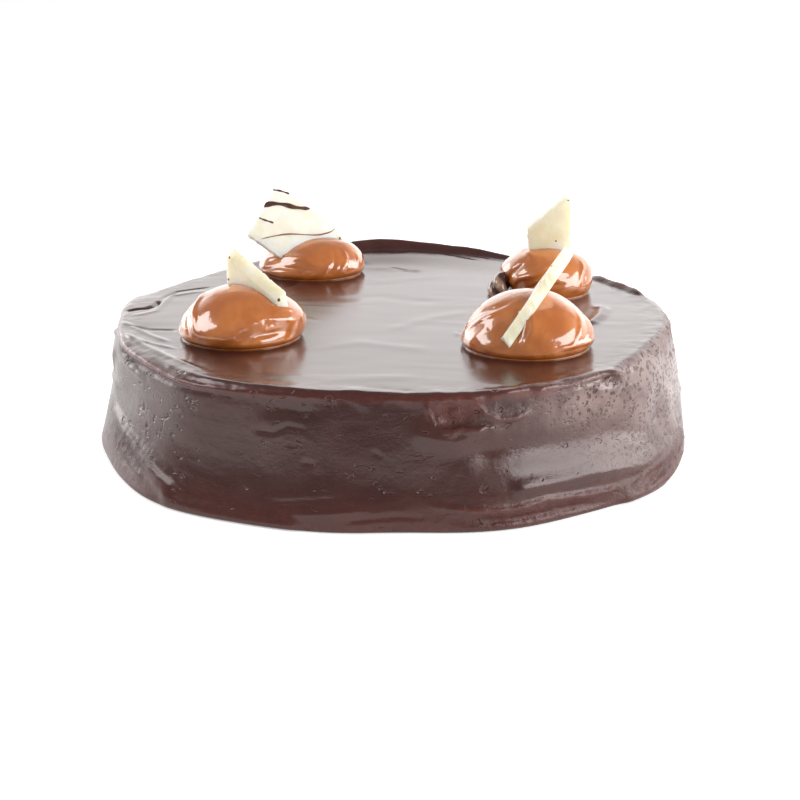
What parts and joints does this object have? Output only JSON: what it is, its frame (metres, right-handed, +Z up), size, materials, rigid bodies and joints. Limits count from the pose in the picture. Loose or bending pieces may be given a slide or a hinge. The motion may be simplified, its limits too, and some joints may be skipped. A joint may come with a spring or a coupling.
{
  "type": "chocolate cake",
  "caption": "Round chocolate cake in a glossy ganache coat, topped with caramel dollops that each hold a white chocolate shard.",
  "frame": {"origin": "middle of the cake's box, on the surface that it stands on", "axes": "+Z up; -Y is the side that faces the viewer; +X is the viewer's right"},
  "size_m": [0.2264, 0.225, 0.0853],
  "materials": {
    "ganache": "glossy dark chocolate ganache",
    "caramel": "glossy milk caramel cream",
    "white_chocolate": "satin white chocolate"
  },
  "bodies": {
    "root": {"cake": "ganache", "ganache_fold": "ganache", "caramel_front_left": "caramel", "caramel_front_right": "caramel", "caramel_back_left": "caramel", "caramel_back_right": "caramel", "shard_front_left": "white_chocolate", "shard_front_right": "white_chocolate", "shard_back_left": "white_chocolate", "shard_back_right": "white_chocolate"}
  },
  "joints": []
}
